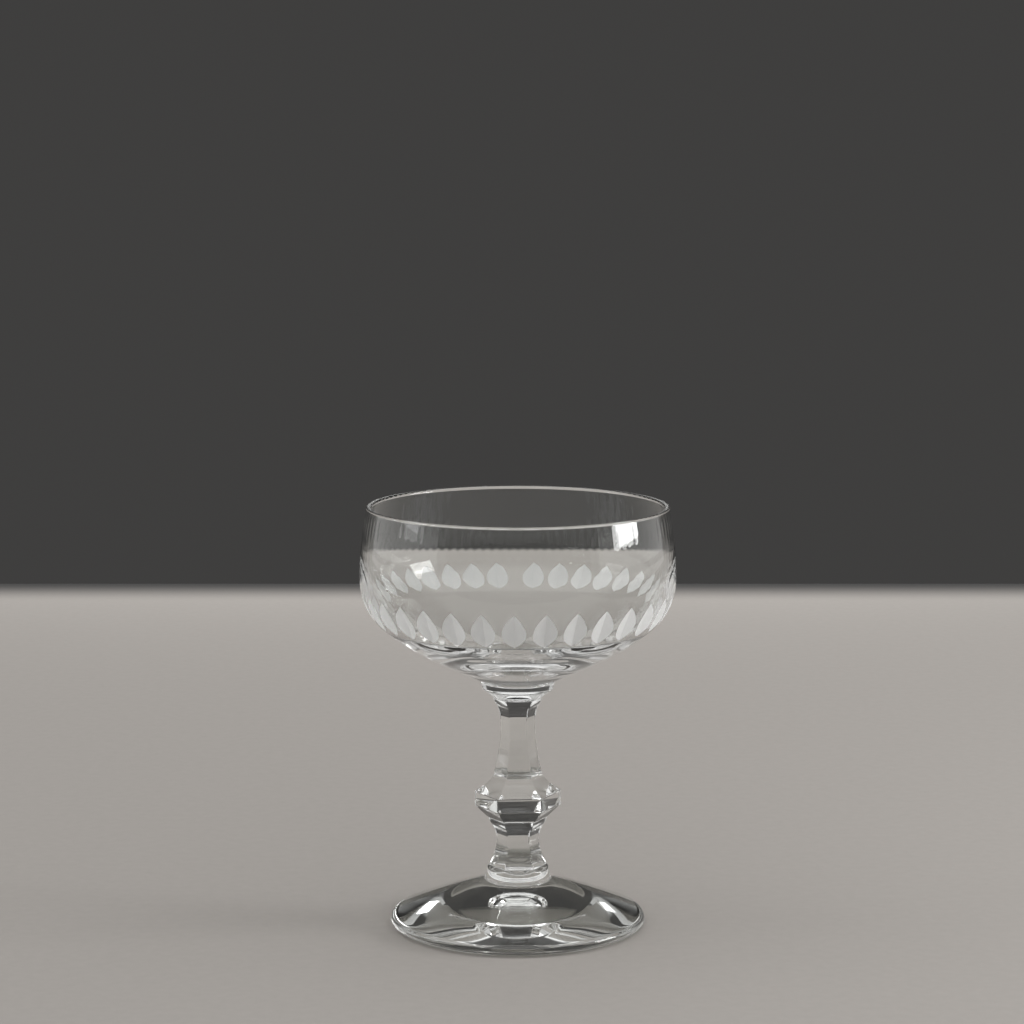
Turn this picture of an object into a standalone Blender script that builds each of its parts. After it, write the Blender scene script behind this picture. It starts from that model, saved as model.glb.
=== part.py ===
"""Footed sherbet glass: a blown bowl with a band of wheel-cut leaves, a glass wafer under it,
a pressed six-sided stem with a knop, and a round foot. Metres, +Z up, the foot standing on z = 0."""

from math import asin, atan2, cos, pi, radians, sin, tan

import bmesh
import bpy
from mathutils import Matrix, Vector, geometry

OBJECT_NAME = "sherbet_glass"
SEAM = 0.0003               # gap kept at each hot-joined seam

# Foot
FOOT_RADIUS = 0.0363
FOOT_EDGE = 0.0035          # thickness of the rounded edge
FOOT_HEIGHT = 0.0133        # up to the seam with the stem
FOOT_CROWN = 0.0003         # rise of the top face above a straight cone
HUB_RADIUS = 0.0094         # round top that carries the stem
HUB_STEP = 0.0005           # upright side of the hub
TREAD_OUTER = 0.0330        # flat ring that the glass stands on
TREAD_INNER = 0.0180
FOOT_HOLLOW = 0.0035        # rise of the ground hollow inside the ring

# Stem: levels count from its lower end, leans from the upright
STEM_HEIGHT = 0.0543
STEM_TURN = radians(3.0)    # turn of the panels about the upright axis
PANELS = 6
RUNOUT = 0.0012             # height over which a panel runs out into a round end
TOP_END_HEIGHT = 0.0020     # round end under the wafer
THROAT_RADIUS = 0.0071
THROAT_LEAN = radians(18.0)
BOTTOM_END_HEIGHT = 0.0030  # round end on the foot
ANKLE_RADIUS = 0.0085
ANKLE_LEAN = radians(30.0)
KNOP_RADIUS = 0.0124        # to the corners of the girdle
KNOP_GIRDLE = 0.0040        # height of the upright band
KNOP_LEVEL = 0.0229         # middle of the band
KNOP_LEAN = radians(58.0)   # where the panels reach the band
KNOP_CHAMFER = 0.0037       # height of the slope under the band
LEDGE_RADIUS = 0.00835      # foot of the slope under the band
LEDGE_LEAN = radians(8.0)
FLARE_RADIUS = 0.0068       # where the panels turn out to the knop
FLARE_LEVEL = 0.0304
FLARE_LEAN = radians(12.0)
UPPER_NECK_RADIUS = 0.0050
UPPER_NECK_LEVEL = 0.0444
LOWER_NECK_RADIUS = 0.0061
LOWER_NECK_LEVEL = 0.0103
SHORT_PULL = 0.30           # share of a curve's height that keeps the lean of its end
MIDDLE_PULL = 0.40
LONG_PULL = 0.70

# Wafer between stem and bowl
WAFER_RADIUS = 0.0105
WAFER_THICKNESS = 0.0023
WAFER_TAPER = 0.0004        # how much narrower the lower face is
WAFER_ROUND = 0.0005

# Bowl
BOWL_HEIGHT = 0.0497
BOWL_RADIUS = 0.0446        # widest, at the top of the shoulder
RIM_RADIUS = 0.0428
RIM_WALL = 0.0016
BELLY_WALL = 0.0017         # how much narrower the inside is at its widest
INNER_LIFT = 0.0050         # how far the inside is widest above the outside
FLANK_RADIUS = 0.0400       # long curve of the inside, above its shoulder
FLANK_ANGLE = radians(82.0)  # slope where the flank meets the shoulder
SHOULDER_EASE = 0.0010      # how much rounder the inside's shoulder is
CORNER_RADIUS = 0.0040      # tighter turn of the inside into its bottom
CORNER_ANGLE = radians(42.0)  # slope where the shoulder meets that turn
BASE_THICKNESS = 0.0080     # glass at the centre of the bottom
SHOULDER_RADIUS = 0.0180
SHOULDER_ANGLE = radians(38.0)  # slope where the shoulder meets the belly
BELLY_RADIUS = 0.0750
CONE_ANGLE = radians(26.0)  # slope of the bottom beside the wafer

# Leaves cut round the shoulder
LEAF_COUNT = 33
LEAF_LENGTH = 0.0108
LEAF_WIDTH = 0.0066
LEAF_SLOPE = radians(63.0)  # slope of the wall at the middle of a leaf
LEAF_DRIFT = radians(2.9)   # hand spacing: wider in front, closer behind
LEAF_PHASE = radians(-1.4)
LEAF_GAP = radians(4.5)     # spare room behind, where the last leaf closes the row
BAR_SPARE = 0.0003          # how far a cutting bar reaches past its leaf

CLEAR = ((0.93, 0.95, 0.94), 0.03)   # colour and roughness
FROSTED = ((0.80, 0.81, 0.79), 0.55)
GLASS_IOR = 1.52
ROUND_STEPS = 72
SMALL_STEPS = 48


def arc(centre, radius, start, end, steps):
    """Points of an arc in the XZ plane. An angle is the slope of the wall there: 90 degrees is upright."""
    points = []
    for i in range(steps + 1):
        slope = start + (end - start) * i / steps
        points.append((centre[0] + radius * sin(slope), centre[1] - radius * cos(slope)))
    return points


def bow(start, end, rise, steps):
    """Points of a shallow arc from start down and out to end, standing proud of the chord by rise."""
    chord = Vector(end) - Vector(start)
    radius = (chord.length ** 2 / 4 + rise ** 2) / (2 * rise)
    half_turn = asin(chord.length / 2 / radius)
    tilt = pi - atan2(-chord.y, chord.x)
    outward = Vector((-chord.y, chord.x)).normalized()
    centre = (Vector(start) + Vector(end)) / 2 - outward * (radius - rise)
    return arc(centre, radius, tilt + half_turn, tilt - half_turn, steps)


def sweep(start, start_lean, start_pull, end, end_lean, end_pull, steps):
    """Points of a smooth curve going down from start to end. It leaves and arrives at the given leans,
    outward being positive, and each pull is the share of the height that follows its lean."""
    drop = start[1] - end[1]
    handles = [
        (start[0] + start_pull * drop * tan(start_lean), start[1] - start_pull * drop),
        (end[0] - end_pull * drop * tan(end_lean), end[1] + end_pull * drop),
    ]
    knots = [Vector((x, 0.0, z)) for x, z in (start, *handles, end)]
    return [(p.x, p.z) for p in geometry.interpolate_bezier(*knots, steps + 1)]


def barrel(widest, height, at_level, at_top, steps):
    """Wall that is upright at its widest level and leans in to at_top over the given height."""
    lean = widest - at_top
    radius = (height ** 2 + lean ** 2) / (2 * lean)
    top_slope = pi / 2 + asin(height / radius)
    return arc((widest - radius, at_level), radius, top_slope, pi / 2, steps)


def turned(name, profile, steps, collection, smooth=True):
    """Object turned about Z from a profile that runs down its outer side."""
    mesh = bpy.data.meshes.new(name)
    bm = bmesh.new()
    corners = []
    for x, z in profile:
        corners.append(bm.verts.new((x, 0.0, z)))
    for first, second in zip(corners, corners[1:]):
        bm.edges.new((first, second))
    bmesh.ops.remove_doubles(bm, verts=bm.verts, dist=1e-7)
    bm.to_mesh(mesh)
    bm.free()
    piece = bpy.data.objects.new(name, mesh)
    collection.objects.link(piece)
    screw = piece.modifiers.new("turn", "SCREW")
    screw.axis = "Z"
    screw.angle = 2 * pi
    screw.steps = steps
    screw.render_steps = steps
    screw.use_merge_vertices = True
    screw.merge_threshold = 0.00001
    screw.use_smooth_shade = smooth
    return piece


def cut(piece, cutter, operation):
    """Boolean with a hidden cutter, whose finish the new faces take."""
    modifier = piece.modifiers.new(cutter.name, "BOOLEAN")
    modifier.operation = operation
    modifier.solver = "EXACT"
    modifier.use_self = True
    modifier.material_mode = "TRANSFER"
    modifier.object = cutter
    cutter.hide_render = True
    cutter.display_type = "WIRE"


def glass(name, finish):
    colour, roughness = finish
    material = bpy.data.materials.new(name)
    material.use_nodes = True
    shader = material.node_tree.nodes["Principled BSDF"]
    shader.inputs["Base Color"].default_value = (*colour, 1.0)
    shader.inputs["Roughness"].default_value = roughness
    shader.inputs["Metallic"].default_value = 0.0
    shader.inputs["IOR"].default_value = GLASS_IOR
    shader.inputs["Transmission Weight"].default_value = 1.0
    return material


def make_foot(collection):
    """Round foot: a hub under the stem, a gently crowned cone, a rounded edge and a hollow underside."""
    half = FOOT_EDGE / 2
    hub_base = FOOT_HEIGHT - HUB_STEP
    edge_centre = (FOOT_RADIUS - half, half)
    fall = atan2(hub_base - FOOT_EDGE, edge_centre[0] - HUB_RADIUS)
    edge = arc(edge_centre, half, pi - fall, pi / 2, 3)
    profile = [(0.0, FOOT_HEIGHT), (HUB_RADIUS, FOOT_HEIGHT)]
    profile += bow((HUB_RADIUS, hub_base), edge[0], FOOT_CROWN, 5)
    profile += edge[1:]
    for across, up in arc((0.0, 0.0), 1.0, pi / 2, 0.0, 3)[1:]:
        profile.append((TREAD_OUTER + (FOOT_RADIUS - TREAD_OUTER) * across, half + half * up))
    hollow_radius = (TREAD_INNER ** 2 + FOOT_HOLLOW ** 2) / (2 * FOOT_HOLLOW)
    hollow_angle = asin(TREAD_INNER / hollow_radius)
    hollow_centre = (0.0, FOOT_HOLLOW - hollow_radius)
    profile += arc(hollow_centre, hollow_radius, pi - hollow_angle, pi, 4)
    return turned("foot", profile, ROUND_STEPS, collection)


def make_stem(collection, cutters):
    """Pressed stem: a round blank whose middle is taken down to flat panels, with a knop between two necks.
    Its ends take the sizes of the hub below and the wafer above."""
    bottom = FOOT_HEIGHT + SEAM
    top = bottom + STEM_HEIGHT
    girdle_top = bottom + KNOP_LEVEL + KNOP_GIRDLE / 2
    girdle_bottom = girdle_top - KNOP_GIRDLE
    ledge = girdle_bottom - KNOP_CHAMFER
    throat = top - TOP_END_HEIGHT
    ankle = bottom + BOTTOM_END_HEIGHT
    upper_neck = (UPPER_NECK_RADIUS, bottom + UPPER_NECK_LEVEL)
    lower_neck = (LOWER_NECK_RADIUS, bottom + LOWER_NECK_LEVEL)
    end_radius = WAFER_RADIUS - WAFER_TAPER - WAFER_ROUND
    flat_share = cos(pi / PANELS)

    stock = KNOP_RADIUS / flat_share
    step_up = (upper_neck[1] + girdle_top) / 2
    step_down = (lower_neck[1] + ledge) / 2
    blank = [(0.0, top), (end_radius, top), (THROAT_RADIUS, throat), (THROAT_RADIUS, step_up)]
    blank += [(stock, step_up), (stock, step_down), (ANKLE_RADIUS, step_down)]
    blank += [(ANKLE_RADIUS, ankle), (HUB_RADIUS, bottom), (0.0, bottom)]
    stem = turned("stem", blank, SMALL_STEPS, collection)

    wide_top = (end_radius + SEAM) / flat_share
    wide_bottom = (HUB_RADIUS + SEAM) / flat_share
    throat_corner = (THROAT_RADIUS, throat - SEAM)
    ankle_corner = (ANKLE_RADIUS, ankle + SEAM)
    flare = (FLARE_RADIUS, bottom + FLARE_LEVEL)
    girdle = (KNOP_RADIUS, girdle_top)
    panels = [(0.0, top + SEAM), (wide_top, top + SEAM), (wide_top, throat + RUNOUT)]
    panels += sweep(throat_corner, -THROAT_LEAN, SHORT_PULL, upper_neck, 0.0, LONG_PULL, 6)
    panels += sweep(upper_neck, 0.0, MIDDLE_PULL, flare, FLARE_LEAN, MIDDLE_PULL, 5)[1:]
    panels += sweep(flare, FLARE_LEAN, MIDDLE_PULL, girdle, KNOP_LEAN, SHORT_PULL, 6)[1:]
    panels += [(KNOP_RADIUS, girdle_bottom)]
    panels += sweep((LEDGE_RADIUS, ledge), -LEDGE_LEAN, SHORT_PULL, lower_neck, 0.0, LONG_PULL, 5)
    panels += sweep(lower_neck, 0.0, SHORT_PULL, ankle_corner, ANKLE_LEAN, SHORT_PULL, 6)[1:]
    panels += [(wide_bottom, ankle - RUNOUT), (wide_bottom, bottom - SEAM), (0.0, bottom - SEAM)]
    cutter = turned("stem_panels", panels, PANELS, cutters, smooth=False)
    cutter.data.materials.append(glass("panel_glass", CLEAR))
    cutter.rotation_euler.z = STEM_TURN
    cut(stem, cutter, "INTERSECT")
    return stem


def make_wafer(collection):
    """Wafer of glass that joins bowl and stem: a thick disc with a rounded, slightly tapered side."""
    bottom = FOOT_HEIGHT + SEAM + STEM_HEIGHT + SEAM
    top = bottom + WAFER_THICKNESS
    low_radius = WAFER_RADIUS - WAFER_TAPER
    profile = [(0.0, top)]
    profile += arc((WAFER_RADIUS - WAFER_ROUND, top - WAFER_ROUND), WAFER_ROUND, pi, pi / 2, 3)
    profile += arc((low_radius - WAFER_ROUND, bottom + WAFER_ROUND), WAFER_ROUND, pi / 2, 0.0, 3)
    profile += [(0.0, bottom)]
    return turned("merese", profile, SMALL_STEPS, collection)


def make_bowl(collection, cutters):
    """Blown bowl: thin barrel-shaped wall, round shoulder and a shallow cone. The inside is rounder than the
    outside, so the wall thickens from the rim down to the base. The flat of the base reaches just past the
    wafer's side, over its rounded edge."""
    bottom = FOOT_HEIGHT + SEAM + STEM_HEIGHT + SEAM + WAFER_THICKNESS + SEAM
    top = bottom + BOWL_HEIGHT
    base_radius = WAFER_RADIUS + WAFER_ROUND
    shoulder_foot = BOWL_RADIUS - SHOULDER_RADIUS * (1 - sin(SHOULDER_ANGLE))
    cone_top = shoulder_foot - BELLY_RADIUS * (sin(SHOULDER_ANGLE) - sin(CONE_ANGLE))
    level = bottom + (cone_top - base_radius) * tan(CONE_ANGLE)
    level += BELLY_RADIUS * (cos(CONE_ANGLE) - cos(SHOULDER_ANGLE))
    level += SHOULDER_RADIUS * cos(SHOULDER_ANGLE)
    centre = (BOWL_RADIUS - SHOULDER_RADIUS, level)

    inner_belly = BOWL_RADIUS - BELLY_WALL
    inner_level = level + INNER_LIFT
    inner_radius = SHOULDER_RADIUS + SHOULDER_EASE
    flank_centre = (inner_belly - FLANK_RADIUS, inner_level)
    flank_reach = FLANK_RADIUS - inner_radius
    inner_centre = (
        flank_centre[0] + flank_reach * sin(FLANK_ANGLE),
        inner_level - flank_reach * cos(FLANK_ANGLE),
    )
    corner_reach = inner_radius - CORNER_RADIUS
    corner_centre = (
        inner_centre[0] + corner_reach * sin(CORNER_ANGLE),
        inner_centre[1] - corner_reach * cos(CORNER_ANGLE),
    )
    dip = corner_centre[1] - CORNER_RADIUS - (bottom + BASE_THICKNESS)
    inner_slope = 2 * atan2(dip, corner_centre[0])
    dish_radius = CORNER_RADIUS + corner_centre[0] / sin(inner_slope)
    dish_centre = (0.0, bottom + BASE_THICKNESS + dish_radius)
    lip = RIM_WALL / 2
    wall_top = top - lip
    reach = SHOULDER_RADIUS - BELLY_RADIUS
    belly_centre = (centre[0] + reach * sin(SHOULDER_ANGLE), level - reach * cos(SHOULDER_ANGLE))
    profile = arc(dish_centre, dish_radius, 0.0, inner_slope, 6)
    profile += arc(corner_centre, CORNER_RADIUS, inner_slope, CORNER_ANGLE, 2)[1:]
    profile += arc(inner_centre, inner_radius, CORNER_ANGLE, FLANK_ANGLE, 5)[1:]
    profile += arc(flank_centre, FLANK_RADIUS, FLANK_ANGLE, pi / 2, 2)[1:]
    profile += barrel(inner_belly, wall_top - inner_level, inner_level, RIM_RADIUS - RIM_WALL, 4)[-2::-1]
    profile += arc((RIM_RADIUS - lip, wall_top), lip, 3 * pi / 2, pi / 2, 4)[1:-1]
    profile += barrel(BOWL_RADIUS, wall_top - level, level, RIM_RADIUS, 4)
    profile += arc(centre, SHOULDER_RADIUS, pi / 2, SHOULDER_ANGLE, 7)[1:]
    profile += arc(belly_centre, BELLY_RADIUS, SHOULDER_ANGLE, CONE_ANGLE, 3)[1:]
    profile += [(base_radius, bottom), (0.0, bottom)]
    bowl = turned("bowl", profile, ROUND_STEPS, collection)
    cut(bowl, make_leaf_cutter(centre, cutters), "DIFFERENCE")
    return bowl


def make_leaf_cutter(centre, cutters):
    """Bars with a V edge, one for each leaf. The straight edge enters the round shoulder and leaves it,
    so it takes out a pointed oval with a valley along its middle."""
    half_angle = asin(LEAF_LENGTH / 2 / SHOULDER_RADIUS)
    depth = SHOULDER_RADIUS * (1 - cos(half_angle))
    radius = centre[0] + SHOULDER_RADIUS * sin(LEAF_SLOPE)
    level = centre[1] - SHOULDER_RADIUS * cos(LEAF_SLOPE)
    around = radius / sin(LEAF_SLOPE)
    side_drop = (LEAF_WIDTH / 2) ** 2 / (2 * around)
    flank = (depth - side_drop) / (LEAF_WIDTH / 2)
    half_width = LEAF_WIDTH / 2 + BAR_SPARE
    half_height = half_width * flank
    bar = Matrix.Diagonal((half_height, half_width, LEAF_LENGTH + 2 * BAR_SPARE, 1.0))
    lean = Matrix.Rotation(pi / 2 - LEAF_SLOPE, 4, "Y")
    outward = half_height - depth
    place = Vector((radius + outward * sin(LEAF_SLOPE), 0.0, level - outward * cos(LEAF_SLOPE)))

    bm = bmesh.new()
    for k in range(LEAF_COUNT):
        step = 2 * pi * k / LEAF_COUNT + LEAF_PHASE
        azimuth = step + LEAF_DRIFT * sin(step) - pi / 2
        if step > pi:
            azimuth += LEAF_GAP * (1 - cos(step)) / 2
        matrix = Matrix.Rotation(azimuth, 4, "Z") @ Matrix.Translation(place) @ lean @ bar
        bmesh.ops.create_cone(
            bm, cap_ends=True, segments=4, radius1=1.0, radius2=1.0, depth=1.0, matrix=matrix
        )
    mesh = bpy.data.meshes.new("leaf_bars")
    bm.to_mesh(mesh)
    bm.free()
    mesh.materials.append(glass("cut_frost", FROSTED))
    cutter = bpy.data.objects.new("leaf_bars", mesh)
    cutters.objects.link(cutter)
    return cutter


for old in list(bpy.data.objects):
    bpy.data.objects.remove(old)
parts = bpy.data.collections.new(OBJECT_NAME)
cutter_group = bpy.data.collections.new("cutters")
for group in (parts, cutter_group):
    bpy.context.scene.collection.children.link(group)

pieces = [
    make_foot(parts),
    make_stem(parts, cutter_group),
    make_wafer(parts),
    make_bowl(parts, cutter_group),
]
for piece in pieces:
    piece.data.materials.append(glass(piece.name + "_glass", CLEAR))
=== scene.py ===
"""Looks of a footed sherbet glass, built over its CAD frame: foot, stem, merese and bowl, then the stage."""

from math import asin, atan2, ceil, cos, hypot, pi, radians, sin, tan

import bmesh
import bpy
from mathutils import Matrix, Vector, geometry


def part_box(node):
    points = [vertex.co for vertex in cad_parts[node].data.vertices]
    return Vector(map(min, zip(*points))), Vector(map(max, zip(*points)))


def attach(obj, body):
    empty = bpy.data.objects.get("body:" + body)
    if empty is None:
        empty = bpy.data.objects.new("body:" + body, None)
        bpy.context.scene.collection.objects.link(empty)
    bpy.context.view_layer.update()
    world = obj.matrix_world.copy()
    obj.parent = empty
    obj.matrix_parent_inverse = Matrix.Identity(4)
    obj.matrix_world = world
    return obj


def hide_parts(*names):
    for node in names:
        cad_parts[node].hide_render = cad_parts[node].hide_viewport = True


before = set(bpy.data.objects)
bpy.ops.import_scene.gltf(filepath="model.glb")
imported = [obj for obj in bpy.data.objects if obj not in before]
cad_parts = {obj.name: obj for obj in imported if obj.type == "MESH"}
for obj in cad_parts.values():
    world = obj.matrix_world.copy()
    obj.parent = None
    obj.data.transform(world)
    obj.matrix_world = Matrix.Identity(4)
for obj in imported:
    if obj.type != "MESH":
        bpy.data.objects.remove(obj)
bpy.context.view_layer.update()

# Foot: a gather of soda glass pressed to a shallow cone while hot, with a fire-polished rounded edge.
# Its underside is hollow, and it stands on a flat ring whose inner edge is a little worn.
foot_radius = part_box("foot")[1].x
foot_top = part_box("foot")[1].z
seam_half = (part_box("stem")[0].z - foot_top) / 2
hub_radius = 0.0094
hub_side = 0.0003
hub_fillet = 0.0012
foot_edge = 0.0035
foot_crown = 0.0003
tread_outer = 0.0330
tread_inner = 0.0180
foot_hollow = 0.0035
worn_edge = 0.0002
edge_steps = 10
crown_steps = 24
hair = 0.000001
flat_row = 0.002


def arc(centre, radius, start, end, steps):
    """Points of an arc in the XZ plane. An angle is the slope of the wall there: 90 degrees is upright."""
    points = []
    for i in range(steps + 1):
        slope = start + (end - start) * i / steps
        points.append((centre[0] + radius * sin(slope), centre[1] - radius * cos(slope)))
    return points


def line(start, end, spacing):
    """Points of a straight run, its start left out."""
    steps = max(1, ceil(hypot(end[0] - start[0], end[1] - start[1]) / spacing))
    points = []
    for i in range(1, steps + 1):
        share = i / steps
        points.append((start[0] + (end[0] - start[0]) * share, start[1] + (end[1] - start[1]) * share))
    return points


def turned(profile, steps):
    """Profile turned about the upright axis: one slice is spun, then doubled until it closes. The seams and
    poles are merged and the faces point outward."""
    doublings = 4
    turn = 2 * pi / 2 ** doublings
    bm = bmesh.new()
    corners = [bm.verts.new((x, 0.0, z)) for x, z in profile]
    edges = [bm.edges.new(pair) for pair in zip(corners, corners[1:])]
    bmesh.ops.spin(
        bm,
        geom=corners + edges,
        cent=(0, 0, 0),
        axis=(0, 0, 1),
        angle=turn,
        steps=steps // 2 ** doublings,
        use_merge=False,
    )
    for _ in range(doublings):
        copied = bmesh.ops.duplicate(bm, geom=bm.verts[:] + bm.edges[:] + bm.faces[:])
        moved = [item for item in copied["geom"] if isinstance(item, bmesh.types.BMVert)]
        bmesh.ops.rotate(bm, verts=moved, cent=(0, 0, 0), matrix=Matrix.Rotation(turn, 3, "Z"))
        turn *= 2
    bmesh.ops.remove_doubles(bm, verts=bm.verts, dist=hair)
    bmesh.ops.recalc_face_normals(bm, faces=bm.faces)
    return bm


def mark_seam(bm, level, radius):
    """The second material goes on flat faces that are fused to the next piece, where there is no surface."""
    for face in bm.faces:
        centre = face.calc_center_median()
        if abs(centre.z - level) < hair and hypot(centre.x, centre.y) < radius:
            face.material_index = 1


def linked(name, data):
    """New object at the origin, put into the scene."""
    item = bpy.data.objects.new(name, data)
    bpy.context.scene.collection.objects.link(item)
    return item


def as_piece(bm, node, materials):
    """Smooth piece that stands in for a CAD node, which it hides, and carries the given materials."""
    for face in bm.faces:
        face.smooth = True
    mesh = bpy.data.meshes.new(node + "_piece")
    bm.to_mesh(mesh)
    bm.free()
    for material in materials:
        mesh.materials.append(material)
    piece = linked(node + "_piece", mesh)
    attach(piece, "root")
    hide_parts(node)
    return piece


class Wire:
    """A socket of a material. Arithmetic on wires adds Math nodes, and add puts in any other node."""

    def __init__(self, tree, socket=None):
        self.tree = tree
        self.socket = socket

    def add(self, kind, settings, inputs, output=0):
        node = self.tree.nodes.new(kind)
        for name, value in settings.items():
            if name == "stops":
                ramp = node.color_ramp.elements
                for stop, (place, shade) in zip(ramp, value):
                    stop.position = place
                    stop.color = shade
            else:
                setattr(node, name, value)
        for name, value in inputs.items():
            if isinstance(value, Wire):
                self.tree.links.new(value.socket, node.inputs[name])
            else:
                node.inputs[name].default_value = value
        return Wire(self.tree, node.outputs[output] if node.outputs else None)

    def maths(self, operation, first, second):
        return self.add("ShaderNodeMath", {"operation": operation}, {0: first, 1: second})

    def __add__(self, other):
        return self.maths("ADD", self, other)

    def __radd__(self, other):
        return self.maths("ADD", other, self)

    def __sub__(self, other):
        return self.maths("SUBTRACT", self, other)

    def __rsub__(self, other):
        return self.maths("SUBTRACT", other, self)

    def __mul__(self, other):
        return self.maths("MULTIPLY", self, other)

    def __rmul__(self, other):
        return self.maths("MULTIPLY", other, self)


def blank_nodes(owner):
    """Empty node tree of a material or a world."""
    owner.use_nodes = True
    owner.node_tree.nodes.clear()
    return Wire(owner.node_tree)


def on_piece(tree):
    """Coordinates that are fixed to the piece."""
    return tree.add("ShaderNodeTexCoord", {}, {}, "Object")


def clouds(tree, scale, detail):
    return tree.add("ShaderNodeTexNoise", {}, {"Vector": on_piece(tree), "Scale": scale, "Detail": detail})


def tinted(tree, share, first, second):
    """Colour that goes from the first to the second with the share."""
    inputs = {"Factor": share, "A": first, "B": second}
    return tree.add("ShaderNodeMix", {"data_type": "RGBA"}, inputs, "Result")


def dented(tree, height, distance):
    return tree.add("ShaderNodeBump", {}, {"Strength": 1.0, "Distance": distance, "Height": height})


glass_index = 1.51


def clear_glass(name, pale, deep, haze, ripple, ripple_scale):
    """Clear glass: its tint drifts a little, its polish is hazy in patches and its surface a little wavy."""
    material = bpy.data.materials.new(name)
    tree = blank_nodes(material)
    drift = clouds(tree, scale=35.0, detail=2.0)
    smears = clouds(tree, scale=160.0, detail=4.0)
    waves = clouds(tree, scale=ripple_scale, detail=1.0)
    shader = tree.add(
        "ShaderNodeBsdfPrincipled",
        {},
        {
            "Base Color": tinted(tree, drift, pale, deep),
            "Roughness": haze * smears,
            "Normal": dented(tree, waves, distance=ripple),
            "IOR": glass_index,
            "Transmission Weight": 1.0,
        },
    )
    tree.add("ShaderNodeOutputMaterial", {}, {"Surface": shader})
    return material


def fused_seam(name):
    """No surface at all: light goes straight on from one fused piece into the next."""
    material = bpy.data.materials.new(name)
    tree = blank_nodes(material)
    shader = tree.add("ShaderNodeBsdfTransparent", {}, {"Color": (1.0, 1.0, 1.0, 1.0)})
    tree.add("ShaderNodeOutputMaterial", {}, {"Surface": shader})
    return material


foot_seam = foot_top + seam_half
hub_base = foot_top - hub_side
edge_half = foot_edge / 2
edge_centre = (foot_radius - edge_half, edge_half)
fall = atan2(hub_base - foot_edge, edge_centre[0] - hub_radius)
edge_arc = arc(edge_centre, edge_half, pi - fall, pi / 2, edge_steps)
foot_profile = [(0.0, foot_seam)] + line((0.0, foot_seam), (hub_radius, foot_seam), flat_row)
foot_profile += line((hub_radius, foot_seam), (hub_radius, hub_base), spacing=0.0002)
for fillet_out, fillet_down in ((0.15, 0.20), (0.50, 0.35)):
    foot_profile.append((hub_radius + hub_fillet * fillet_out, hub_base - hub_fillet * fillet_down))
cone_start = foot_profile[-1]
chord = Vector(edge_arc[0]) - Vector(cone_start)
for i in range(1, crown_steps + 1):
    share = i / crown_steps
    rise = 4 * foot_crown * share * (1 - share)
    foot_profile.append((cone_start[0] + chord.x * share, cone_start[1] + chord.y * share + rise))
foot_profile += edge_arc[1:]
for across, up in arc((0.0, 0.0), 1.0, pi / 2, 0.0, edge_steps)[1:]:
    foot_profile.append((tread_outer + (foot_radius - tread_outer) * across, edge_half + edge_half * up))
foot_profile += line(foot_profile[-1], (tread_inner + worn_edge, 0.0), flat_row)
hollow_radius = (tread_inner ** 2 + foot_hollow ** 2) / (2 * foot_hollow)
hollow_start = pi - asin(tread_inner / hollow_radius) + worn_edge / hollow_radius
foot_profile += arc((0.0, foot_hollow - hollow_radius), hollow_radius, hollow_start, pi, steps=16)
foot = turned(foot_profile, steps=256)
mark_seam(foot, foot_seam, hub_radius)
foot_glass = clear_glass(
    "foot_glass",
    pale=(0.97, 0.98, 0.965, 1),
    deep=(0.93, 0.95, 0.915, 1),
    haze=0.03,
    ripple=0.00002,
    ripple_scale=90.0,
)
seam = fused_seam("fused_seam")
as_piece(foot, "foot", [foot_glass, seam])

# Stem: glass pressed in a mould with flat panels, two necks and a knop with an upright band between them.
# The panels run out into a round end above and below, and the fire has softened every corner.
stem_bottom = foot_seam
stem_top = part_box("stem")[1].z + seam_half
stem_turn = radians(3.0)
panels = 6
panel_crowding = 0.7
corner_softness = 90
end_softness = 40
stem_end_radius = 0.0096
throat = (0.0071, 0.0656)
throat_lean = radians(-18)
upper_neck = (0.0050, 0.0580)
flare = (0.0068, 0.0440)
flare_lean = radians(12)
girdle_top = (0.0124, 0.0385)
girdle_lean = radians(58)
girdle_bottom = (0.0124, 0.0345)
ledge = (0.00835, 0.0308)
ledge_lean = radians(-8)
lower_neck = (0.0061, 0.0239)
ankle = (0.0085, 0.0169)
ankle_lean = radians(30)
blank_radius = 0.0140
blank_above_throat = 0.0018
blank_below_ankle = 0.0020
row = 0.0003


def sweep(start, end, leans, pulls):
    """Points of a smooth curve going down from start to end, its start left out. It leaves and arrives at the
    given leans from the upright, outward being positive, each followed for a share of the height."""
    drop = start[1] - end[1]
    handles = [
        (start[0] + pulls[0] * drop * tan(leans[0]), start[1] - pulls[0] * drop),
        (end[0] - pulls[1] * drop * tan(leans[1]), end[1] + pulls[1] * drop),
    ]
    knots = [Vector((x, 0.0, z)) for x, z in (start, *handles, end)]
    steps = ceil(hypot(end[0] - start[0], drop) / row)
    return [(p.x, p.z) for p in geometry.interpolate_bezier(*knots, steps + 1)][1:]


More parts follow.
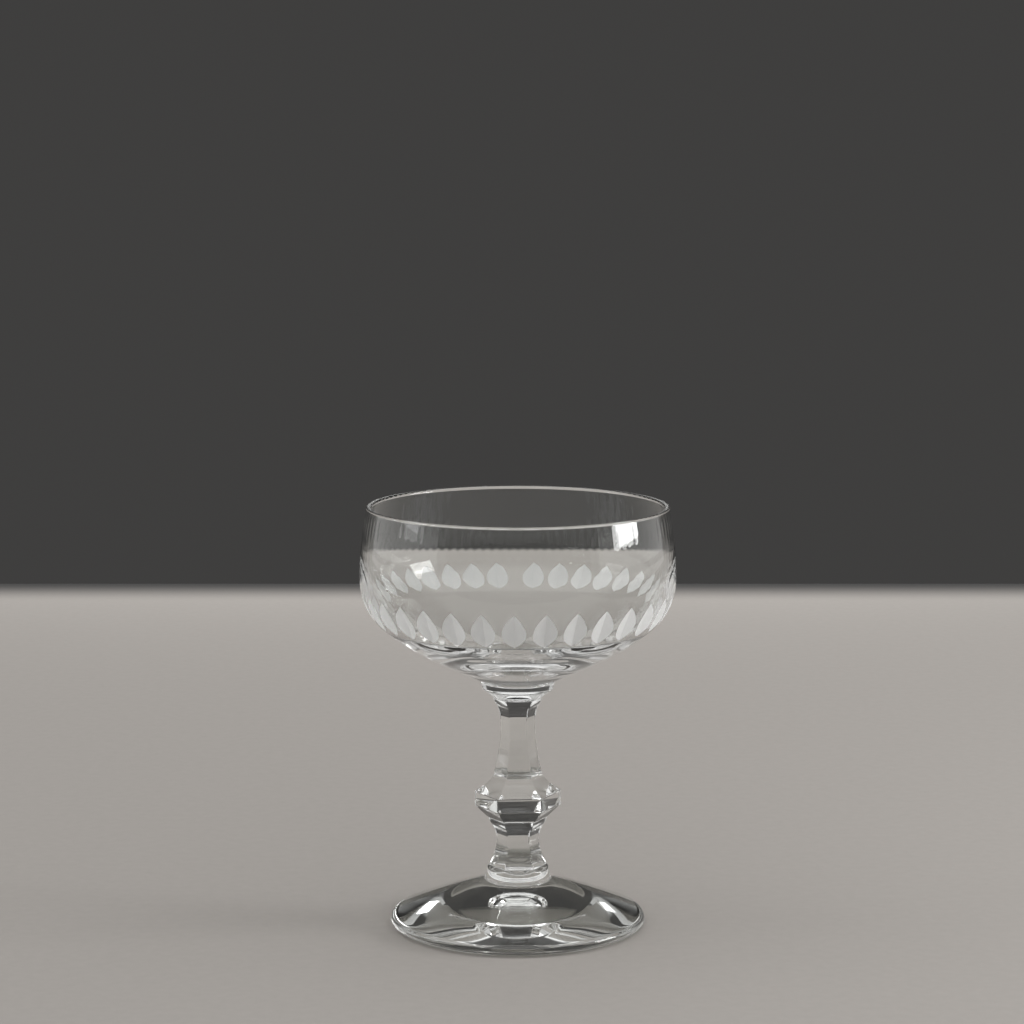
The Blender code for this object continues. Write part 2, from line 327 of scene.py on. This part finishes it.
blank_high = (blank_radius, throat[1] + blank_above_throat)
blank_low = (blank_radius, ankle[1] - blank_below_ankle)
stem_profile = [(0.0, stem_top)] + line((0.0, stem_top), (blank_radius, stem_top), flat_row)
stem_profile += line((blank_radius, stem_top), blank_high, row)
stem_profile += line(blank_high, throat, row)
stem_profile += sweep(throat, upper_neck, leans=(throat_lean, 0.0), pulls=(0.3, 0.7))
stem_profile += sweep(upper_neck, flare, leans=(0.0, flare_lean), pulls=(0.4, 0.4))
stem_profile += sweep(flare, girdle_top, leans=(flare_lean, girdle_lean), pulls=(0.4, 0.3))
stem_profile += line(girdle_top, girdle_bottom, row)
stem_profile += line(girdle_bottom, ledge, row)
stem_profile += sweep(ledge, lower_neck, leans=(ledge_lean, 0.0), pulls=(0.3, 0.7))
stem_profile += sweep(lower_neck, ankle, leans=(0.0, ankle_lean), pulls=(0.3, 0.3))
stem_profile += line(ankle, blank_low, row)
stem_profile += line(blank_low, (blank_radius, stem_bottom), row)
stem_profile += line((blank_radius, stem_bottom), (0.0, stem_bottom), flat_row)

# Levels and radii of the round that trims the pressed blank, from its foot up.
round_ends = [
    (stem_bottom, hub_radius),
    (0.0166, 0.0087),
    (0.0200, 0.0087),
    (0.0260, 0.0200),
    (0.0460, 0.0200),
    (0.0600, 0.0073),
    (0.0659, 0.0071),
    (stem_top, stem_end_radius),
]


def round_end(level):
    """Radius of the round at a level: close in at the two ends, and out of the way between them."""
    for (low, low_radius), (high, high_radius) in zip(round_ends, round_ends[1:]):
        if level <= high:
            return low_radius + (high_radius - low_radius) * (level - low) / (high - low)
    return stem_end_radius


def press_panels(bm):
    """Presses the turned blank to its panels. Rows of points are drawn together at the corners, which stay
    soft."""
    for vert in bm.verts:
        radius = hypot(vert.co.x, vert.co.y)
        if radius < hair:
            continue
        around = atan2(vert.co.y, vert.co.x) - stem_turn
        around -= panel_crowding * sin(panels * around) / panels
        reach = 0.0
        for k in range(panels):
            facing = cos(around - pi * (2 * k + 1) / panels)
            if facing > 0:
                reach += facing ** corner_softness
        flat = radius * cos(pi / panels) / reach ** (1 / corner_softness)
        flat *= (1 + (flat / round_end(vert.co.z)) ** end_softness) ** (-1 / end_softness)
        vert.co.x = flat * cos(around + stem_turn)
        vert.co.y = flat * sin(around + stem_turn)


stem = turned(stem_profile, steps=352)
press_panels(stem)
mark_seam(stem, stem_bottom, blank_radius)
mark_seam(stem, stem_top, blank_radius)
stem_finish = {
    "pale": (0.98, 0.985, 0.975, 1),
    "deep": (0.95, 0.96, 0.945, 1),
    "haze": 0.03,
    "ripple": 0.00002,
    "ripple_scale": 120.0,
}
as_piece(stem, "stem", [clear_glass("stem_glass", **stem_finish), seam])

# Merese: a bit of hot glass flattened to a thick disc, which joins the stem to the bowl.
# Its side is rounded and a little narrower below, and a fine groove is left above and under it.
merese_bottom = stem_top
merese_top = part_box("merese")[1].z + seam_half
merese_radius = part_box("merese")[1].x
merese_taper = 0.0004
merese_round = 0.0005
merese_low = merese_radius - merese_taper
merese_flat = merese_radius - merese_round
top_centre = (merese_flat, merese_top - merese_round)
low_centre = (merese_low - merese_round, merese_bottom + merese_round)
merese_profile = [(0.0, merese_top)] + line((0.0, merese_top), (merese_flat, merese_top), flat_row)
merese_profile += arc(top_centre, merese_round, pi, pi / 2, steps=8)[1:]
merese_profile += line(merese_profile[-1], (merese_low, low_centre[1]), row)
merese_profile += arc(low_centre, merese_round, pi / 2, 0.0, steps=8)[1:]
merese_profile += line(merese_profile[-1], (0.0, merese_bottom), flat_row)
merese = turned(merese_profile, steps=256)
mark_seam(merese, merese_top, merese_flat)
mark_seam(merese, merese_bottom, merese_low)
as_piece(merese, "merese", [clear_glass("merese_glass", **stem_finish), seam])

# Bowl: blown thin with faint upright ribs inside, cracked off, and its rim melted round.
# A wheel then cut the band of leaves round the shoulder, each a shallow V left grey from the stone.
bowl_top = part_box("bowl")[1].z
bowl_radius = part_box("bowl")[1].x - hair
bowl_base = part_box("bowl")[0].z
bowl_seam = bowl_base - seam_half
base_radius = 0.0110
base_thickness = 0.0080
rim_radius = 0.0428
rim_wall = 0.0016
belly_wall = 0.0017
belly_radius = 0.0750
cone_angle = radians(26.0)
shoulder_radius = 0.0180
shoulder_angle = radians(38.0)
shoulder_ease = 0.0010
inner_lift = 0.0050
flank_radius = 0.0400
flank_angle = radians(82.0)
corner_radius = 0.0040
corner_angle = radians(42.0)
lip_row = 0.0002
ribs = 112
rib_depth = 0.000015
rib_trace = 0.1
rib_start = (0.001, 0.003)
rib_fade = (0.005, 0.009)
rib_floor = (0.034, 0.041)

shoulder_foot = bowl_radius - shoulder_radius * (1 - sin(shoulder_angle))
cone_top = shoulder_foot - belly_radius * (sin(shoulder_angle) - sin(cone_angle))
shoulder_level = bowl_base + (cone_top - base_radius) * tan(cone_angle)
shoulder_level += belly_radius * (cos(cone_angle) - cos(shoulder_angle))
shoulder_level += shoulder_radius * cos(shoulder_angle)
shoulder_centre = (bowl_radius - shoulder_radius, shoulder_level)
belly_reach = shoulder_radius - belly_radius
belly_centre = (
    shoulder_centre[0] + belly_reach * sin(shoulder_angle),
    shoulder_level - belly_reach * cos(shoulder_angle),
)
inner_level = shoulder_level + inner_lift
inner_belly = bowl_radius - belly_wall
inner_shoulder = shoulder_radius + shoulder_ease
flank_centre = (inner_belly - flank_radius, inner_level)
flank_reach = flank_radius - inner_shoulder
inner_centre = (
    flank_centre[0] + flank_reach * sin(flank_angle),
    inner_level - flank_reach * cos(flank_angle),
)
inner_reach = inner_shoulder - corner_radius
corner_centre = (
    inner_centre[0] + inner_reach * sin(corner_angle),
    inner_centre[1] - inner_reach * cos(corner_angle),
)
dip = corner_centre[1] - corner_radius - (bowl_base + base_thickness)
dish_slope = 2 * atan2(dip, corner_centre[0])
dish_radius = corner_radius + corner_centre[0] / sin(dish_slope)
dish_centre = (0.0, bowl_base + base_thickness + dish_radius)
lip = rim_wall / 2
lip_lean = 2 * (bowl_radius - rim_radius) / (bowl_top - shoulder_level)
lip_centre = (rim_radius - lip, bowl_top - lip)
lip_arc = arc(lip_centre, lip, 3 * pi / 2 + lip_lean, pi / 2 + lip_lean, steps=12)


def barrel(widest, level, top, steps):
    """Wall that is upright at a level and leans in to its top, with a close row of points under the lip."""
    lean = widest - top[0]
    height = top[1] - level
    radius = (height ** 2 + lean ** 2) / (2 * lean)
    centre = (widest - radius, level)
    top_slope = pi / 2 + asin(height / radius)
    return [top] + arc(centre, radius, top_slope - lip_row / radius, pi / 2, steps)


bowl_profile = arc(dish_centre, dish_radius, 0.0, dish_slope, steps=14)
bowl_profile += arc(corner_centre, corner_radius, dish_slope, corner_angle, steps=12)[1:]
bowl_profile += arc(inner_centre, inner_shoulder, corner_angle, flank_angle, steps=14)[1:]
bowl_profile += arc(flank_centre, flank_radius, flank_angle, pi / 2, steps=6)[1:]
bowl_profile += barrel(inner_belly, inner_level, lip_arc[0], steps=10)[-2::-1]
bowl_profile += lip_arc[1:-1]
bowl_profile += barrel(bowl_radius, shoulder_level, lip_arc[-1], steps=14)
bowl_profile += arc(shoulder_centre, shoulder_radius, pi / 2, shoulder_angle, steps=24)[1:]
bowl_profile += arc(belly_centre, belly_radius, shoulder_angle, cone_angle, steps=8)[1:]
bowl_profile += line(bowl_profile[-1], (base_radius, bowl_base), spacing=0.003)
bowl_profile += [(merese_flat, bowl_seam)] + line((merese_flat, bowl_seam), (0.0, bowl_seam), flat_row)
bowl = turned(bowl_profile, steps=672)


def ease(value, limits):
    """Smooth step from 0 at the first limit to 1 at the second."""
    low, high = limits
    share = min(1.0, max(0.0, (value - low) / (high - low)))
    return share * share * (3 - 2 * share)


def raise_ribs(bm):
    """Faint upright ribs on the inner wall: they start under the lip and die away to a trace further down. The
    inner wall is what faces a point above the bowl."""
    over_rim = 0.05
    above = Vector((0.0, 0.0, bowl_top + over_rim))
    bm.normal_update()
    for vert in bm.verts:
        if vert.normal.dot(above - vert.co) > 0:
            down = bowl_top - vert.co.z
            fade = ease(down, rib_start) * (1 - (1 - rib_trace) * ease(down, rib_fade))
            fade *= ease(hypot(vert.co.x, vert.co.y), rib_floor)
            height = rib_depth * fade * cos(ribs * atan2(vert.co.y, vert.co.x))
            vert.co += vert.normal * height


raise_ribs(bowl)
mark_seam(bowl, bowl_seam, merese_flat)
bowl_glass = clear_glass(
    "bowl_glass",
    pale=(0.985, 0.99, 0.985, 1),
    deep=(0.96, 0.97, 0.96, 1),
    haze=0.02,
    ripple=0.00001,
    ripple_scale=70.0,
)
bowl_piece = as_piece(bowl, "bowl", [bowl_glass, seam])

leaves = 33
leaf_length = 0.0108
leaf_width = 0.0066
leaf_slope = radians(63.0)
leaf_drift = radians(2.9)
leaf_phase = radians(-1.4)
leaf_gap = radians(4.5)
leaf_taper = 0.18
leaf_crease = radians(5)
bar_spare = 0.0003


def leaf_bars():
    """One bar with a V edge for each leaf. Its straight edge enters the round shoulder and leaves it again, and
    its flanks are steeper at the top, so it cuts a pointed leaf that is widest below its middle."""
    half_angle = asin(leaf_length / 2 / shoulder_radius)
    depth = shoulder_radius * (1 - cos(half_angle))
    radius = shoulder_centre[0] + shoulder_radius * sin(leaf_slope)
    level = shoulder_centre[1] - shoulder_radius * cos(leaf_slope)
    side_drop = (leaf_width / 2) ** 2 / (2 * radius / sin(leaf_slope))
    half_width = leaf_width / 2 + bar_spare
    half_height = half_width * (depth - side_drop) / (leaf_width / 2)
    lean = Matrix.Rotation(pi / 2 - leaf_slope, 4, "Y")
    bars = bmesh.new()
    for k in range(leaves):
        step = 2 * pi * k / leaves + leaf_phase
        azimuth = step + leaf_drift * sin(step) - pi / 2
        if step > pi:
            azimuth += leaf_gap * (1 - cos(step)) / 2
        around = Matrix.Rotation(azimuth, 4, "Z")
        made = bmesh.ops.create_cone(bars, cap_ends=True, segments=4, radius1=1.0, radius2=1.0, depth=1.0)
        for vert in made["verts"]:
            flank = 1 + 2 * leaf_taper * vert.co.z
            vert.co.x = (vert.co.x + 1) * half_height * flank - depth
            vert.co.y *= half_width
            vert.co.z *= leaf_length + 2 * bar_spare
        place = around @ Matrix.Translation((radius, 0.0, level)) @ lean
        bmesh.ops.transform(bars, matrix=place, verts=made["verts"])
    mesh = bpy.data.meshes.new("leaf_bars")
    bars.to_mesh(mesh)
    bars.free()
    return mesh


def frosted_cut(name):
    """Cut left from the stone: a fine even grey, half see-through, with the wheel's faint streaks."""
    material = bpy.data.materials.new(name)
    tree = blank_nodes(material)
    streaks = clouds(tree, scale=900.0, detail=3.0)
    grit = dented(tree, streaks, distance=0.00003)
    ground = tree.add(
        "ShaderNodeBsdfPrincipled",
        {},
        {
            "Base Color": tinted(tree, streaks, (0.97, 0.975, 0.965, 1), (0.92, 0.925, 0.915, 1)),
            "Roughness": 0.5 + 0.2 * streaks,
            "Normal": grit,
            "IOR": glass_index,
            "Transmission Weight": 0.2,
        },
    )
    glow = tree.add("ShaderNodeBsdfTranslucent", {}, {"Color": (0.90, 0.905, 0.90, 1), "Normal": grit})
    shader = tree.add("ShaderNodeMixShader", {}, {"Fac": 0.35, 1: ground, 2: glow})
    tree.add("ShaderNodeOutputMaterial", {}, {"Surface": shader})
    return material


bars_mesh = leaf_bars()
bars_mesh.materials.append(frosted_cut("leaf_frost"))
bars = linked("leaf_bars", bars_mesh)
wheel = bowl_piece.modifiers.new("leaves", "BOOLEAN")
wheel.operation = "DIFFERENCE"
wheel.solver = "MANIFOLD"
wheel.material_mode = "TRANSFER"
wheel.object = bars
graph = bpy.context.evaluated_depsgraph_get()
cut_mesh = bpy.data.meshes.new_from_object(bowl_piece.evaluated_get(graph))
bowl_piece.modifiers.clear()
whole_mesh = bowl_piece.data
bowl_piece.data = cut_mesh
bpy.data.meshes.remove(whole_mesh)
bpy.data.objects.remove(bars)
frost_index = cut_mesh.materials.find("leaf_frost")
cut = bmesh.new()
cut.from_mesh(cut_mesh)
for edge in cut.edges:
    finishes = {face.material_index for face in edge.link_faces}
    gentle = frost_index not in finishes or edge.calc_face_angle(0.0) < leaf_crease
    edge.smooth = len(finishes) == 1 and gentle
cut.to_mesh(cut_mesh)
cut.free()

# Stage: a plain pale table top, whose far edge fades into a plain dark backdrop that rises high behind the
# glass, under a white ceiling. A long soft panel stands at each side with a square lamp above it, and low
# fills, which the glass doesn't mirror, light the table and the frost.
table_half = 0.590
table_fade = 0.050
table_thickness = 0.020
table_gap = 0.0002
table_pale = (0.425, 0.398, 0.372, 1)
table_deep = (0.385, 0.360, 0.336, 1)
backdrop_grey = (0.050, 0.049, 0.048, 1)
ceiling_white = (1.0, 1.0, 1.0, 1)
backdrop_rise = 1.0
backdrop_top = 0.22
ceiling_start = 0.52

table = bmesh.new()
bmesh.ops.create_cube(table, size=1.0)
bmesh.ops.scale(table, verts=table.verts, vec=(2 * table_half, 2 * table_half, table_thickness))
bmesh.ops.translate(table, verts=table.verts, vec=(0.0, 0.0, -table_thickness / 2 - table_gap))
table_mesh = bpy.data.meshes.new("table")
table.to_mesh(table_mesh)
table.free()
table_paper = bpy.data.materials.new("table_paper")
tree = blank_nodes(table_paper)
grain = clouds(tree, scale=300.0, detail=3.0)
paper = tinted(tree, grain, table_deep, table_pale)
across_table = tree.add("ShaderNodeSeparateXYZ", {}, {"Vector": on_piece(tree)}, "Y")
far_edge = tree.add(
    "ShaderNodeMapRange",
    {"interpolation_type": "SMOOTHSTEP"},
    {"Value": across_table, "From Min": table_half - table_fade, "From Max": table_half},
)
fading = tinted(tree, far_edge, paper, backdrop_grey)
shader = tree.add("ShaderNodeBsdfPrincipled", {}, {"Base Color": fading, "Roughness": 0.8})
tree.add("ShaderNodeOutputMaterial", {}, {"Surface": shader})
table_mesh.materials.append(table_paper)
floor = linked("table", table_mesh)

studio = bpy.data.worlds.new("studio")
bpy.context.scene.world = studio
sky = blank_nodes(studio)
direction = sky.add("ShaderNodeTexCoord", {}, {}, "Generated")
upward = sky.add("ShaderNodeSeparateXYZ", {}, {"Vector": direction}, "Z")
backward = sky.add("ShaderNodeSeparateXYZ", {}, {"Vector": direction}, "Y")
shade = sky.add(
    "ShaderNodeValToRGB",
    {"stops": [(backdrop_top, backdrop_grey), (ceiling_start, ceiling_white)]},
    {"Fac": upward - backdrop_rise * sky.maths("MAXIMUM", backward, 0.0)},
)
background = sky.add("ShaderNodeBackground", {}, {"Color": shade, "Strength": 1.0})
sky.add("ShaderNodeOutputWorld", {}, {"Surface": background})

lamp_reach = 0.9
fill_level = 0.045
fill_powers = {"front": 2.0, "right": 3.5, "back": 6.5, "left": 3.5}
side_level = 0.16
side_turns = {"left": radians(-95), "right": radians(95)}


def panel_lamp(name, place, width, height, power):
    """Soft rectangle of light that faces the upright axis of the glass, out of the camera's sight."""
    lamp = bpy.data.lights.new(name, "AREA")
    lamp.shape = "RECTANGLE"
    lamp.size = width
    lamp.size_y = height
    lamp.energy = power
    holder = linked(name, lamp)
    holder.location = place
    inward = Vector((-place[0], -place[1], 0.0))
    holder.rotation_euler = inward.to_track_quat("-Z", "Y").to_euler()
    holder.visible_camera = False
    return holder


for k, (side, power) in enumerate(fill_powers.items()):
    place = Matrix.Rotation(k * pi / 2, 3, "Z") @ Vector((0.0, -lamp_reach, fill_level))
    fill = panel_lamp("fill_" + side, place, width=0.80, height=0.08, power=power)
    fill.visible_glossy = False
    fill.visible_transmission = False
for side, turn in side_turns.items():
    place = Matrix.Rotation(turn, 3, "Z") @ Vector((0.0, -lamp_reach, side_level))
    panel_lamp("side_panel_" + side, place, width=1.26, height=0.32, power=0.65)
panel_lamp("right_lamp", (0.75, -0.05, 0.28), width=0.295, height=0.275, power=2.8)
panel_lamp("left_lamp", (-0.75, -0.05, 0.31), width=0.25, height=0.25, power=0.3)

camera = bpy.data.cameras.new("camera")
camera.lens = 107.37
camera.sensor_width = 36.0
viewer = linked("camera", camera)
viewer.location = (-0.00166, -0.850, 0.23995)
viewer.rotation_euler = (radians(81.878), 0.0, 0.0)

scene = bpy.context.scene
scene.camera = viewer
scene.view_settings.view_transform = "Standard"
scene.cycles.max_bounces = 32
scene.cycles.transmission_bounces = 32
scene.cycles.glossy_bounces = 12
scene.cycles.transparent_max_bounces = 16
